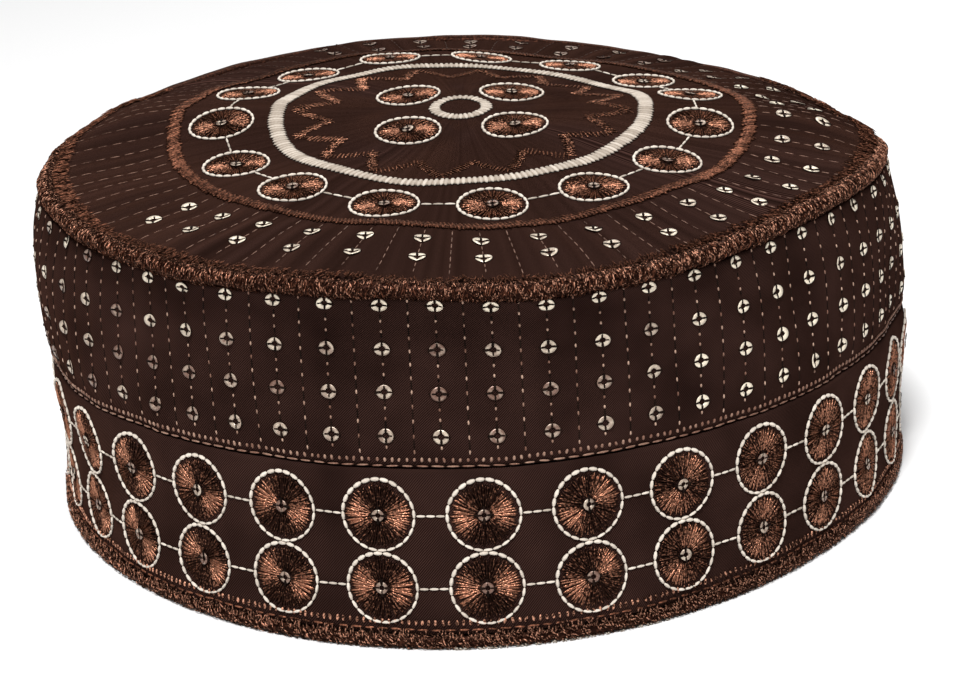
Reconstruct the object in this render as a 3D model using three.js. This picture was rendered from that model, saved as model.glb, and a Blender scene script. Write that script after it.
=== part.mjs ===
// Embroidered round cap: a soft brimless cap of satin cloth, resting on its rim.
// Millimetres, +Z up. The front faces -Y and +X is on the right of someone who faces it.
// Turns are measured from the front, positive towards the right.
import * as THREE from 'three';

// Heights measured along the cloth, from the rim to the crown's edge.
const WALL_HEIGHT = 80;
const SEAM_HEIGHT = 36.4;
const BINDING_HEIGHT = 2.8;

// Cloth and trim.
const CLOTH = 2.0;
const GAP = 0.3;
const BAND_PROUD = 0.5;
const BINDING_PROUD = 0.9;
const BINDING_THICKNESS = 3.2;
const EDGE_BINDING = { inside: 2.6, outside: 0.9, above: 0.9, below: 2.4 };

// The girth's middle stands this far from the middle of the whole cap.
const MIDDLE = { x: 0.3, y: 0.5 };

// How far the wall's outside stands from the girth's middle, at four heights and eight turns.
const TURNS = ['front', 'frontRight', 'right', 'backRight', 'back', 'backLeft', 'left', 'frontLeft'];
const GIRTH = [
  {
    at: 0,
    front: 93.5, frontRight: 88.5, right: 93, backRight: 97.5,
    back: 94.5, backLeft: 95, left: 92.5, frontLeft: 90.5,
  },
  {
    at: 40,
    front: 88, frontRight: 86.5, right: 94, backRight: 98,
    back: 90.5, backLeft: 92, left: 94, frontLeft: 89,
  },
  {
    at: 60,
    front: 88, frontRight: 86.5, right: 93, backRight: 94.5,
    back: 91, backLeft: 91, left: 94.5, frontLeft: 90,
  },
  {
    at: 80,
    front: 92.5, frontRight: 86, right: 89, backRight: 88,
    back: 86.5, backLeft: 87, left: 90, frontLeft: 92,
  },
];

// The slumped cloth brings the crown's edge down to these true heights.
const EDGE = {
  front: 69.7, frontRight: 71.4, right: 71.6, backRight: 74.6,
  back: 80.7, backLeft: 79.6, left: 75.5, frontLeft: 73.3,
};
// Here and there the edge also stands a little higher or lower than its neighbourhood.
const EDGE_WAVES = [
  { turn: -52, rise: -1.2 },
  { turn: -14, rise: 1.4 },
  { turn: 66, rise: 0.7 },
  { turn: 104, rise: -2.4 },
];
const EDGE_WAVE_WIDTH = 17;

// Soft upright dents pressed into the wall: where, how wide in degrees, how high and how deep.
const DENTS = [
  { turn: -10, width: 4.5, middle: 60, reach: 17, depth: 1.4 },
  { turn: -2.5, width: 3.5, middle: 64, reach: 12, depth: 1.1 },
  { turn: 24, width: 6, middle: 60, reach: 20, depth: 0.9 },
  { turn: 47, width: 5, middle: 62, reach: 18, depth: 1.0 },
  { turn: 78, width: 8, middle: 55, reach: 22, depth: 1.0 },
  { turn: -48, width: 7, middle: 60, reach: 18, depth: 1.0 },
  { turn: 135, width: 9, middle: 58, reach: 20, depth: 1.3 },
  { turn: 185, width: 8, middle: 60, reach: 20, depth: 1.2 },
  { turn: 232, width: 9, middle: 56, reach: 20, depth: 1.3 },
];
// The stitched seam pulls the wall in.
const SEAM_PINCH = { reach: 3, depth: 0.8 };

// The crown is tented along a crease that runs from left to right.
// It falls off steeply in front, steepest at the sides, and hardly at all behind.
const CROWN_MIDDLE = 76.5;
const CREASE = {
  rise: 6.3,
  moreAtSides: 4.7,
  sides: 80,
  back: 4.2,
  slant: 0.116,
  softness: 3,
  fallInFront: 47,
  fallInFrontAtSides: 12,
  steepening: 40,
  fallBehind: 91,
};

// Satin-stitched rings on the crown: radius of each ring's middle, width and height.
const RING_MIDDLE = { x: -1.15, y: 0.7 };
const CREAM_THREAD = { color: 0xd9cdb8, roughness: 0.6 };
const BROWN_THREAD = { color: 0x6b3f2b, roughness: 0.6 };
const RINGS = {
  centre_ring: { radius: 5.6, width: 2.4, height: 0.9, look: CREAM_THREAD },
  white_ring: { radius: 39.7, width: 3.2, height: 1.0, look: CREAM_THREAD },
  brown_ring: { radius: 61.7, width: 3, height: 0.8, look: BROWN_THREAD },
};
const RING_SLOPE = 0.6;

const SATIN_CLOTH = { color: 0x2c1a17, roughness: 0.5 };
const TRIM_THREAD = { color: 0x5a3222, roughness: 0.8 };

// The loops that each piece is worked out on.
const SEGMENTS = 64;
const WALL_STEPS = { outside: 6, inside: 3 };
const BAND_STEPS = { outside: 4, inside: 3 };
// Crown loops: distances from the rings' middle, then shares of the way from there to the edge.
const CROWN_LOOPS = {
  topBetweenRings: [2.2, 17, 28, 51],
  topToEdge: [1 / 3, 2 / 3, 1],
  underFromEdge: [1, 0.5, 0],
  under: [45, 29, 14],
};
const REACH_PASSES = 6;
// Bevels of the two bindings.
const RIM_BEVEL = { flat: 0.7, share: 0.3 };
const EDGE_BEVEL = 0.8;

const lerp = THREE.MathUtils.lerp;
const radians = THREE.MathUtils.degToRad;

function bell(distance, reach) {
  return Math.exp(-((distance / reach) ** 2));
}

// Turn difference between -180 and 180 degrees, in radians.
function turnBetween(a, b) {
  return Math.atan2(Math.sin(a - b), Math.cos(a - b));
}

// Smooth value at any turn, through a row's eight values.
function around(row, turn) {
  let value = 0;
  TURNS.forEach((name, index) => {
    const away = turnBetween(turn, (index * Math.PI) / 4);
    const share = Math.abs(away) < 1e-6 ? 1 : Math.sin(4 * away) / (8 * Math.tan(away / 2));
    value += row[name] * share;
  });
  return value;
}

// Distance of the wall's outside from the girth's middle: one smooth curve through the table's rows.
function plainGirth(turn, height) {
  let distance = 0;
  GIRTH.forEach((row) => {
    let share = 1;
    GIRTH.forEach((other) => {
      if (other !== row) share *= (height - other.at) / (row.at - other.at);
    });
    distance += share * around(row, turn);
  });
  return distance;
}

function wallGirth(turn, height) {
  let pressedIn = SEAM_PINCH.depth * bell(height - SEAM_HEIGHT, SEAM_PINCH.reach);
  DENTS.forEach((dent) => {
    const across = bell(turnBetween(turn, radians(dent.turn)), radians(dent.width));
    pressedIn += dent.depth * across * bell(height - dent.middle, dent.reach);
  });
  return plainGirth(turn, height) - pressedIn;
}

// How high the crease lifts the cloth at a place in plan.
function creaseLift(x, y) {
  const behind = y - CREASE.back + CREASE.slant * x;
  const away = Math.hypot(behind, CREASE.softness) - CREASE.softness;
  const inFront = lerp(CREASE.fallInFrontAtSides, CREASE.fallInFront, bell(x, CREASE.steepening));
  const fall = behind < 0 ? inFront : CREASE.fallBehind;
  const rise = CREASE.rise + CREASE.moreAtSides * (x / CREASE.sides) ** 2;
  return rise * Math.exp(-away / fall);
}

function place(turn, distance) {
  return { x: distance * Math.sin(turn), y: -distance * Math.cos(turn) };
}

function edgeWave(turn) {
  let wave = 0;
  EDGE_WAVES.forEach((lift) => {
    wave += lift.rise * bell(turnBetween(turn, radians(lift.turn)), radians(EDGE_WAVE_WIDTH));
  });
  return wave;
}

// True height of the crown's edge.
function edgeHeight(turn) {
  return around(EDGE, turn) + edgeWave(turn);
}

// True height of a line sewn at a height along the cloth.
function sewnHeight(turn, height) {
  return height + (edgeHeight(turn) - WALL_HEIGHT) * (height / WALL_HEIGHT) ** 2;
}

// Height along the cloth at a true height: the way back through sewnHeight.
function clothHeight(turn, trueHeight) {
  const slump = (edgeHeight(turn) - WALL_HEIGHT) / WALL_HEIGHT ** 2;
  if (Math.abs(slump) < 1e-7) return trueHeight;
  return (Math.sqrt(1 + 4 * slump * trueHeight) - 1) / (2 * slump);
}

function crownHeight(x, y) {
  const turn = Math.atan2(x, -y);
  const out = Math.hypot(x, y) / plainGirth(turn, WALL_HEIGHT);
  const edge = around(EDGE, turn);
  const meanEdge = TURNS.reduce((sum, name) => sum + EDGE[name] / TURNS.length, 0);
  const dome = lerp(CROWN_MIDDLE, meanEdge, out ** 2) + (edge - meanEdge) * out;
  return dome + creaseLift(x, y) * (1 - out ** 4) + edgeWave(turn) * out ** 6;
}

// A closed ring: section(turn) gives the section's corners as [distance, height], counterclockwise.
function ringGeometry(section, middle = { x: 0, y: 0 }) {
  const positions = [];
  const faces = [];
  const corners = section(0).length;
  for (let step = 0; step < SEGMENTS; step += 1) {
    const turn = (step / SEGMENTS) * 2 * Math.PI;
    section(turn).forEach(([distance, height]) => {
      const at = place(turn, distance);
      positions.push(at.x + middle.x, at.y + middle.y, height);
    });
  }
  for (let step = 0; step < SEGMENTS; step += 1) {
    const here = step * corners;
    const next = ((step + 1) % SEGMENTS) * corners;
    for (let corner = 0; corner < corners; corner += 1) {
      const after = (corner + 1) % corners;
      faces.push(here + corner, next + corner, next + after);
      faces.push(here + corner, next + after, here + after);
    }
  }
  return buildGeometry(positions, faces);
}

function buildGeometry(positions, faces) {
  const geometry = new THREE.BufferGeometry();
  geometry.setAttribute('position', new THREE.Float32BufferAttribute(positions, 3));
  geometry.setIndex(faces);
  geometry.computeVertexNormals();
  return geometry;
}

// A cloth wall between two heights along the cloth, as a section for ringGeometry.
function wallSection(low, highAt, steps, proud) {
  return (turn) => {
    const corners = [];
    const high = highAt(turn);
    for (let step = 0; step <= steps.outside; step += 1) {
      const height = lerp(low, high, step / steps.outside);
      corners.push([wallGirth(turn, height) + proud, sewnHeight(turn, height)]);
    }
    for (let step = steps.inside; step >= 0; step -= 1) {
      const height = lerp(low, high, step / steps.inside);
      corners.push([wallGirth(turn, height) + proud - CLOTH, sewnHeight(turn, height)]);
    }
    return corners;
  };
}

function rimBindingSection(turn) {
  const outside = plainGirth(turn, 0) + BINDING_PROUD;
  const inside = outside - BINDING_THICKNESS;
  const top = BINDING_HEIGHT;
  const { flat, share } = RIM_BEVEL;
  const low = share * top;
  const high = top - low;
  return [
    [inside + flat, 0],
    [outside - flat, 0],
    [outside, low],
    [outside, high],
    [outside - flat, top],
    [inside + flat, top],
    [inside, high],
    [inside, low],
  ];
}

function edgeBindingSection(turn) {
  const girth = plainGirth(turn, WALL_HEIGHT);
  const height = edgeHeight(turn);
  const outside = girth + EDGE_BINDING.outside;
  const inside = girth - EDGE_BINDING.inside;
  const top = height + EDGE_BINDING.above;
  const bottom = height - EDGE_BINDING.below;
  return [
    [inside, bottom],
    [outside - EDGE_BEVEL, bottom],
    [outside, bottom + EDGE_BEVEL],
    [outside, top - EDGE_BEVEL],
    [outside - EDGE_BEVEL, top],
    [inside + EDGE_BEVEL, top],
    [inside, top - EDGE_BEVEL],
  ];
}

function ringEdges({ radius, width }) {
  return [radius - width / 2, radius + width / 2];
}

// The crown has a loop under each edge of each ring and a few loops between the rings.
function crownStations() {
  const edges = Object.values(RINGS).flatMap(ringEdges);
  return [...CROWN_LOOPS.topBetweenRings, ...edges].sort((a, b) => a - b);
}

// Where a turn about the rings' middle meets the edge binding.
function crownReach(turn) {
  const direction = place(turn, 1);
  let distance = plainGirth(turn, WALL_HEIGHT);
  for (let pass = 0; pass < REACH_PASSES; pass += 1) {
    const x = RING_MIDDLE.x + direction.x * distance;
    const y = RING_MIDDLE.y + direction.y * distance;
    const limit = plainGirth(Math.atan2(x, -y), WALL_HEIGHT) - EDGE_BINDING.inside - GAP;
    distance += limit - Math.hypot(x, y);
  }
  return distance;
}

function crownGeometry() {
  const positions = [];
  const faces = [];
  const stations = crownStations();
  const last = stations[stations.length - 1];
  const addLoop = (distanceAt, drop) => {
    const start = positions.length / 3;
    for (let step = 0; step < SEGMENTS; step += 1) {
      const turn = (step / SEGMENTS) * 2 * Math.PI;
      const at = place(turn, distanceAt(turn));
      const x = at.x + RING_MIDDLE.x;
      const y = at.y + RING_MIDDLE.y;
      positions.push(x, y, crownHeight(x, y) - drop);
    }
    return start;
  };
  const addPole = (drop) => {
    positions.push(RING_MIDDLE.x, RING_MIDDLE.y, crownHeight(RING_MIDDLE.x, RING_MIDDLE.y) - drop);
    return positions.length / 3 - 1;
  };
  const shareAt = (share) => (turn) => lerp(last, crownReach(turn), share);
  const topPole = addPole(0);
  const rows = [
    ...stations.map((station) => addLoop(() => station, 0)),
    ...CROWN_LOOPS.topToEdge.map((share) => addLoop(shareAt(share), 0)),
    ...CROWN_LOOPS.underFromEdge.map((share) => addLoop(shareAt(share), CLOTH)),
    ...CROWN_LOOPS.under.map((station) => addLoop(() => station, CLOTH)),
  ];
  const underPole = addPole(CLOTH);
  for (let step = 0; step < SEGMENTS; step += 1) {
    const next = (step + 1) % SEGMENTS;
    faces.push(topPole, rows[0] + step, rows[0] + next);
    for (let row = 0; row + 1 < rows.length; row += 1) {
      faces.push(rows[row] + step, rows[row + 1] + step, rows[row + 1] + next);
      faces.push(rows[row] + step, rows[row + 1] + next, rows[row] + next);
    }
    faces.push(underPole, rows[rows.length - 1] + next, rows[rows.length - 1] + step);
  }
  return buildGeometry(positions, faces);
}

// A padded ring of satin stitches lying on the crown.
function satinRingSection({ radius, width, height }) {
  return (turn) => {
    const corner = (distance, rise) => {
      const at = place(turn, distance);
      const ground = crownHeight(at.x + RING_MIDDLE.x, at.y + RING_MIDDLE.y);
      return [distance, ground + GAP + rise];
    };
    const inside = radius - width / 2;
    const outside = radius + width / 2;
    return [
      corner(inside, 0),
      corner(outside, 0),
      corner(outside - RING_SLOPE, height),
      corner(inside + RING_SLOPE, height),
    ];
  };
}

const cap = new THREE.Group();
cap.position.set(-MIDDLE.x, -MIDDLE.y, 0);

function addPiece(name, geometry, look) {
  const material = new THREE.MeshStandardMaterial({ ...look, metalness: 0 });
  const piece = new THREE.Mesh(geometry, material);
  piece.name = name;
  cap.add(piece);
}

addPiece('crown', crownGeometry(), SATIN_CLOTH);
addPiece('crown_edge_binding', ringGeometry(edgeBindingSection), TRIM_THREAD);

const wallTop = (turn) => clothHeight(turn, edgeHeight(turn) - EDGE_BINDING.below - GAP);
addPiece('side_wall', ringGeometry(wallSection(SEAM_HEIGHT, wallTop, WALL_STEPS, 0)), SATIN_CLOTH);

const bandLow = BINDING_HEIGHT + GAP;
const bandTop = () => SEAM_HEIGHT - GAP;
const bandSection = wallSection(bandLow, bandTop, BAND_STEPS, BAND_PROUD);
addPiece('lower_band', ringGeometry(bandSection), SATIN_CLOTH);
addPiece('rim_binding', ringGeometry(rimBindingSection), TRIM_THREAD);

Object.entries(RINGS).forEach(([name, ring]) => {
  addPiece(name, ringGeometry(satinRingSection(ring), RING_MIDDLE), ring.look);
});

export default cap;
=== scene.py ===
# %% [markdown]
# # Embroidered round cap
# A soft brimless cap of dark satin stands on its rim. Its crown and wall are quilted with lines of
# stitches and sequins, its lower band carries two rows of rosettes, and its edges are overlocked.
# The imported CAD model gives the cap's size and form; this lesson adds cloth, thread and light.

# %% Load the frame
import math

import bpy
import numpy as np
from mathutils import Matrix, Vector


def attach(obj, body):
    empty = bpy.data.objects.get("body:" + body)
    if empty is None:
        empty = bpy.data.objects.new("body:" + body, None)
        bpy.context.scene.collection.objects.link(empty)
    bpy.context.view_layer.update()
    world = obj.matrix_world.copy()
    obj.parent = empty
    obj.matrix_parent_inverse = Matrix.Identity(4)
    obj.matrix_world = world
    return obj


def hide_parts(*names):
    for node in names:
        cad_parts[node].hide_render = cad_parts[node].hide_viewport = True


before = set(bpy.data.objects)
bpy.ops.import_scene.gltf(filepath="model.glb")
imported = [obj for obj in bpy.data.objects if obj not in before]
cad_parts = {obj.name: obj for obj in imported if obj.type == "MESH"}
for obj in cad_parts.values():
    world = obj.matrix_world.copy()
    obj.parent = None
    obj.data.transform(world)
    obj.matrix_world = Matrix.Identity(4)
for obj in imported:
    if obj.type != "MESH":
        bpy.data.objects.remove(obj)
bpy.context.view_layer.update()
MM = 0.001

# %% [markdown]
# ## The cap's form
# The real cap has slumped a little, so it is not a plain cylinder, and a spun profile would come out
# too round. Instead, a short table says how far the wall stands out at eight turns and four heights,
# and one smooth curve runs through each row. Turns are measured from the front, positive to the
# right. The CAD model was made from the same numbers, so cloth made from them sits where the solids
# are.

# %% Sizes of the cap
WALL_HEIGHT = 80 * MM
SEAM_HEIGHT = 36.4 * MM
BINDING_HEIGHT = 2.8 * MM
CLOTH = 2.0 * MM
GAP = 0.3 * MM
BAND_PROUD = 0.5 * MM
# The middle of the cap's box, from the point that turns go round.
MIDDLE = (0.3 * MM, 0.5 * MM)

# Rows of millimetres: front, front right, right, back right, back, back left, left, front left.
GIRTH = {
    0: (93.5, 88.5, 93, 97.5, 94.5, 95, 92.5, 90.5),
    40: (88, 86.5, 94, 98, 90.5, 92, 94, 89),
    60: (88, 86.5, 93, 94.5, 91, 91, 94.5, 90),
    80: (92.5, 86, 89, 88, 86.5, 87, 90, 92),
}
EDGE = (69.7, 71.4, 71.6, 74.6, 80.7, 79.6, 75.5, 73.3)

# Here and there the edge stands higher or lower: turn in degrees and rise in millimetres.
EDGE_WAVES = ((-52, -1.2), (-14, 1.4), (66, 0.7), (104, -2.4))
EDGE_WAVE_WIDTH = 17

# Dents pressed into the wall: turn and width in degrees, then middle, reach and depth in millimetres.
DENTS = (
    (-10, 4.5, 60, 17, 1.4),
    (-2.5, 3.5, 64, 12, 1.1),
    (24, 6, 60, 20, 0.9),
    (47, 5, 62, 18, 1.0),
    (78, 8, 55, 22, 1.0),
    (-48, 7, 60, 18, 1.0),
    (135, 9, 58, 20, 1.3),
    (185, 8, 60, 20, 1.2),
    (232, 9, 56, 20, 1.3),
)
SEAM_PINCH = {"reach": 3 * MM, "depth": 0.8 * MM}
CROWN_MIDDLE = 76.5 * MM
CREASE = {
    "rise": 6.3 * MM,
    "more at sides": 4.7 * MM,
    "sides": 80 * MM,
    "back": 4.2 * MM,
    "slant": 0.116,
    "softness": 3 * MM,
    "fall in front": 47 * MM,
    "fall in front at sides": 12 * MM,
    "steepening": 40 * MM,
    "fall behind": 91 * MM,
}
# The middle of the crown's rings, from the same point.
RING_MIDDLE = np.array([-1.15, 0.7]) * MM
print("wall %.0f mm along the cloth, seam at %.1f mm" % (WALL_HEIGHT / MM, SEAM_HEIGHT / MM))


# %% The curve round the cap
def bell(distance, reach):
    return np.exp(-((distance / reach) ** 2))


def turn_between(a, b):
    """Turn difference between minus and plus half a round."""
    return np.arctan2(np.sin(a - b), np.cos(a - b))


def around(row, turn):
    """Smooth value at any turn, through a row's eight values."""
    total = np.zeros(np.shape(turn))
    for index, value in enumerate(row):
        away = turn_between(turn, index * math.pi / 4)
        at_it = np.abs(away) < 1e-6
        safe = np.where(at_it, 1, away)
        total += value * np.where(at_it, 1, np.sin(4 * safe) / (8 * np.tan(safe / 2)))
    return total


def plain_girth(turn, height):
    """How far the wall stands from the cap's middle, without dents."""
    distance = 0
    for row_height, row in GIRTH.items():
        share = 1
        for other in GIRTH:
            if other != row_height:
                share = share * (height / MM - other) / (row_height - other)
        distance = distance + share * around(row, turn) * MM
    return distance


def wall_girth(turn, height):
    """How far the dented wall stands from the cap's middle."""
    pressed = SEAM_PINCH["depth"] * bell(height - SEAM_HEIGHT, SEAM_PINCH["reach"])
    for dent_turn, width, middle, reach, depth in DENTS:
        across = bell(turn_between(turn, math.radians(dent_turn)), math.radians(width))
        pressed = pressed + depth * MM * across * bell(height - middle * MM, reach * MM)
    return plain_girth(turn, height) - pressed


print("front of the rim %.1f mm from the middle" % (wall_girth(np.array(0.0), 0) / MM))


# %% The crown's heights
def crease_lift(x, y):
    """How high the crease that runs from left to right lifts the cloth, steeply only in front."""
    behind = y - CREASE["back"] + CREASE["slant"] * x
    away = np.hypot(behind, CREASE["softness"]) - CREASE["softness"]
    steeper = CREASE["fall in front"] - CREASE["fall in front at sides"]
    in_front = CREASE["fall in front at sides"] + steeper * bell(x, CREASE["steepening"])
    fall = np.where(behind < 0, in_front, CREASE["fall behind"])
    rise = CREASE["rise"] + CREASE["more at sides"] * (x / CREASE["sides"]) ** 2
    return rise * np.exp(-away / fall)


def edge_wave(turn):
    wave = 0
    for wave_turn, rise in EDGE_WAVES:
        away = turn_between(turn, math.radians(wave_turn))
        wave = wave + rise * MM * bell(away, math.radians(EDGE_WAVE_WIDTH))
    return wave


def edge_height(turn):
    return around(EDGE, turn) * MM + edge_wave(turn)


def sewn_height(turn, height):
    """True height of a line sewn at a height along the cloth."""
    return height + (edge_height(turn) - WALL_HEIGHT) * (height / WALL_HEIGHT) ** 2


def crown_height(x, y):
    turn = np.arctan2(x, -y)
    out = np.hypot(x, y) / plain_girth(turn, WALL_HEIGHT)
    edge = around(EDGE, turn) * MM
    mean_edge = np.mean(EDGE) * MM
    dome = CROWN_MIDDLE + (mean_edge - CROWN_MIDDLE) * out**2 + (edge - mean_edge) * out
    return dome + crease_lift(x, y) * (1 - out**4) + edge_wave(turn) * out**6


print("front edge %.1f mm high" % (edge_height(np.array(0.0)) / MM))

# %% [markdown]
# ## Where the needle went
# The wall's embroidery keeps even steps along the cloth, so its places are given as a share of the
# way round and a height along the cloth. The crown's are given in plan, about the middle of its
# rings. Places read off a picture would hold from one side only, so the photograph gives no more
# than the counts, the first places and the heights.

# %% Places of the embroidery
COLUMNS = 55
FIRST_COLUMN = 9.734
SEQUIN_HEIGHTS = np.array([75.1, 63.5, 53.1, 43.4]) * MM
BAND_ROSETTES = 29
FIRST_ROSETTE = 5.022
ROSETTE_HEIGHTS = np.array([26.7, 12.0]) * MM
ROSETTE = {"radius": 7.2 * MM, "spokes": 68, "outline": 24}
CROWN_LINES = 39
FIRST_LINE = 4.753
CROWN_SEQUIN_RADII = np.array([68.9, 77.2]) * MM
CROWN_ROSETTES = 15
CROWN_ROSETTE_RADIUS = 51.5 * MM
RINGS = {
    "centre_ring": {"radius": 5.6 * MM, "width": 2.4 * MM, "height": 0.9 * MM},
    "white_ring": {"radius": 39.7 * MM, "width": 3.2 * MM, "height": 1.0 * MM},
    "brown_ring": {"radius": 61.7 * MM, "width": 3.0 * MM, "height": 0.8 * MM},
}
print(COLUMNS, "sequin columns on the wall and", CROWN_LINES, "sequin lines on the crown")
print(2 * BAND_ROSETTES, "rosettes on the band and", CROWN_ROSETTES, "in the crown's ring")

# %% [markdown]
# ## Cloth that is not quite smooth
# Every line of stitches pulls the cloth in and lets it swell beside it, and the cap has soft
# wrinkles from being folded. Both are a fraction of a millimetre. A bump in the material would not
# move the stitches with the cloth, so they are worked out as a small relief that the cloth and all
# that is sewn on it share.

# %% Relief of the wall
PUFF = 0.4 * MM
PUFF_ROUNDNESS = 0.7
PUFF_MEAN = 0.6
QUILTING_STARTS = (38 * MM, 42 * MM)
QUILTING_ENDS = (75 * MM, 79 * MM)
FIRM_RIM = 4 * MM
# Wrinkles: waves round the cap, waves up the wall, where they start, and depth in millimetres.
WRINKLES = ((7, 0.8, 0.3, 0.30), (17, 1.7, 2.1, 0.16), (31, 2.9, 4.4, 0.10), (53, 1.3, 1.2, 0.07))


def fade(value, low, high):
    """Rises smoothly from 0 at low to 1 at high."""
    t = np.clip((value - low) / (high - low), 0, 1)
    return t * t * (3 - 2 * t)


def puff(angle):
    """Swelling about its mean; the stitched lines lie where the angle's sine is nought."""
    return np.abs(np.sin(angle)) ** PUFF_ROUNDNESS - PUFF_MEAN


def wall_relief(share, height):
    relief = PUFF * puff(math.pi * (2 * COLUMNS * share + 2 * FIRST_COLUMN))
    relief = relief * fade(height, *QUILTING_STARTS) * (1 - fade(height, *QUILTING_ENDS))
    for waves_round, waves_up, start, depth in WRINKLES:
        angle = 2 * math.pi * (waves_round * share + waves_up * height / WALL_HEIGHT) + start
        relief = relief + depth * MM * np.sin(angle)
    return relief * fade(height, 0, FIRM_RIM)


print("deepest wrinkle of the wall %.2f mm" % max(depth for *_, depth in WRINKLES))


# %% The wall's face as a fine net of points
NET_HEIGHTS = np.linspace(0, WALL_HEIGHT, 161)
NET_SHARES = np.linspace(-0.5, 0.5, 1321)


def turns_at(height):
    """Turns at which even shares of the girth lie, at one height along the cloth."""
    turns = np.linspace(-2 * math.pi, 2 * math.pi, 2881)
    distance = plain_girth(turns, height)
    x = distance * np.sin(turns)
    y = -distance * np.cos(turns)
    walked = np.concatenate([[0], np.cumsum(np.hypot(np.diff(x), np.diff(y)))])
    front = len(turns) // 2
    length = walked[-1] - walked[front]
    return np.interp(NET_SHARES, (walked - walked[front]) / length, turns), length


def wall_net():
    """Points and outward normals of the wall's outer face."""
    turns = np.zeros((len(NET_HEIGHTS), len(NET_SHARES)))
    lengths = np.zeros(len(NET_HEIGHTS))
    for row, height in enumerate(NET_HEIGHTS):
        turns[row], lengths[row] = turns_at(height)
    heights = NET_HEIGHTS[:, None]
    distance = wall_girth(turns, heights)
    x = distance * np.sin(turns) - MIDDLE[0]
    y = -distance * np.cos(turns) - MIDDLE[1]
    points = np.stack([x, y, sewn_height(turns, heights)], -1)
    normals = np.cross(np.gradient(points, axis=1), np.gradient(points, axis=0))
    normals /= np.linalg.norm(normals, axis=-1, keepdims=True)
    points = points + normals * wall_relief(NET_SHARES[None, :], heights)[..., None]
    return points, normals, lengths


WALL_POINTS, WALL_NORMALS, GIRTH_LENGTHS = wall_net()
NET_STEP = NET_HEIGHTS[1] - NET_HEIGHTS[0]
WALL_STRETCH = np.linalg.norm(np.gradient(WALL_POINTS, axis=0), axis=-1).mean(1) / NET_STEP
print("girth at the rim %.0f mm" % (GIRTH_LENGTHS[0] / MM))


# %% Points on the wall
def net_value(net, share, height):
    """Value between the net's points."""
    across = np.mod(share + 0.5, 1) * (len(NET_SHARES) - 1)
    up = np.clip(height / WALL_HEIGHT, 0, 1) * (len(NET_HEIGHTS) - 1)
    column = np.minimum(across.astype(int), len(NET_SHARES) - 2)
    row = np.minimum(up.astype(int), len(NET_HEIGHTS) - 2)
    a = (across - column)[..., None]
    b = (up - row)[..., None]
    low = net[row, column] * (1 - a) + net[row, column + 1] * a
    high = net[row + 1, column] * (1 - a) + net[row + 1, column + 1] * a
    return low * (1 - b) + high * b


def wall_step(share, height, across, up):
    """Share and height reached from a place by steps in metres along the cloth."""
    new_height = height + up / np.interp(height, NET_HEIGHTS, WALL_STRETCH)
    return share + across / np.interp(new_height, NET_HEIGHTS, GIRTH_LENGTHS), new_height


def on_wall(share, height, across, up, lift):
    share, height = wall_step(share, height, across, up)
    proud = BAND_PROUD * (height < SEAM_HEIGHT) + lift
    return net_value(WALL_POINTS, share, height) + net_value(WALL_NORMALS, share, height) * proud[..., None]


# %% Relief and points of the crown
CROWN_PUFF = 0.35 * MM
CROWN_QUILTING_STARTS = (64 * MM, 68 * MM)
# Wrinkles: waves in 100 mm to the right and to the back, where they start, and depth in millimetres.
CROWN_WRINKLES = ((1.3, 0.7, 0.5, 0.35), (2.4, -1.9, 2.2, 0.22), (0.6, 3.4, 4.0, 0.20), (4.7, 2.2, 1.0, 0.1))
NET_PLAN = np.linspace(-96, 96, 481) * MM


def crown_relief(x, y):
    x = x - RING_MIDDLE[0]
    y = y - RING_MIDDLE[1]
    swell = puff(CROWN_LINES * np.arctan2(x, -y) + math.pi * 2 * FIRST_LINE)
    relief = CROWN_PUFF * swell * fade(np.hypot(x, y), *CROWN_QUILTING_STARTS)
    for right, back, start, depth in CROWN_WRINKLES:
        relief = relief + depth * MM * np.sin(2 * math.pi * (right * x + back * y) / (100 * MM) + start)
    return relief


def crown_net():
    """Heights and normals of the crown's outer face over a square in plan."""
    x, y = np.meshgrid(NET_PLAN, NET_PLAN, indexing="ij")
    heights = crown_height(x, y) + crown_relief(x, y)
    step = NET_PLAN[1] - NET_PLAN[0]
    slope_x, slope_y = np.gradient(heights, step)
    normals = np.stack([-slope_x, -slope_y, np.ones_like(x)], -1)
    normals /= np.linalg.norm(normals, axis=-1, keepdims=True)
    return np.concatenate([heights[..., None], normals], -1)


CROWN_NET = crown_net()


def crown_value(x, y):
    """Height and normal of the crown at places in plan."""
    last = len(NET_PLAN) - 1
    i = np.clip((x - NET_PLAN[0]) / (NET_PLAN[-1] - NET_PLAN[0]), 0, 1) * last
    j = np.clip((y - NET_PLAN[0]) / (NET_PLAN[-1] - NET_PLAN[0]), 0, 1) * last
    column = np.minimum(i.astype(int), last - 1)
    row = np.minimum(j.astype(int), last - 1)
    a = (i - column)[..., None]
    b = (j - row)[..., None]
    near = CROWN_NET[column, row] * (1 - a) + CROWN_NET[column + 1, row] * a
    far = CROWN_NET[column, row + 1] * (1 - a) + CROWN_NET[column + 1, row + 1] * a
    return near * (1 - b) + far * b


def crown_step(x, y, across, up):
    return x + across, y + up


def on_crown(x, y, across, up, lift):
    x, y = crown_step(x, y, across, up)
    value = crown_value(x, y)
    point = np.stack([x - MIDDLE[0], y - MIDDLE[1], value[..., 0]], -1)
    return point + value[..., 1:] * np.asarray(lift)[..., None]


print("crown middle %.1f mm high" % (on_crown(*np.zeros((5, 1)))[0, 2] / MM))

# %% [markdown]
# ## Camera
# The photograph was taken from a little above the cap, a good arm's length away. The camera stands
# at the same place, so the picture can be laid over the photograph.

# %% Camera
# Aim and distance in millimetres, angles in degrees, and the focal length in pixels of the picture.
CAMERA = {"aim": (0.135, 0, 29.31), "away": 550.5, "elevation": 18.46, "roll": 2.88, "focal_pixels": 2487}
PICTURE_WIDTH = 957
SENSOR_WIDTH = 36


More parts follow.
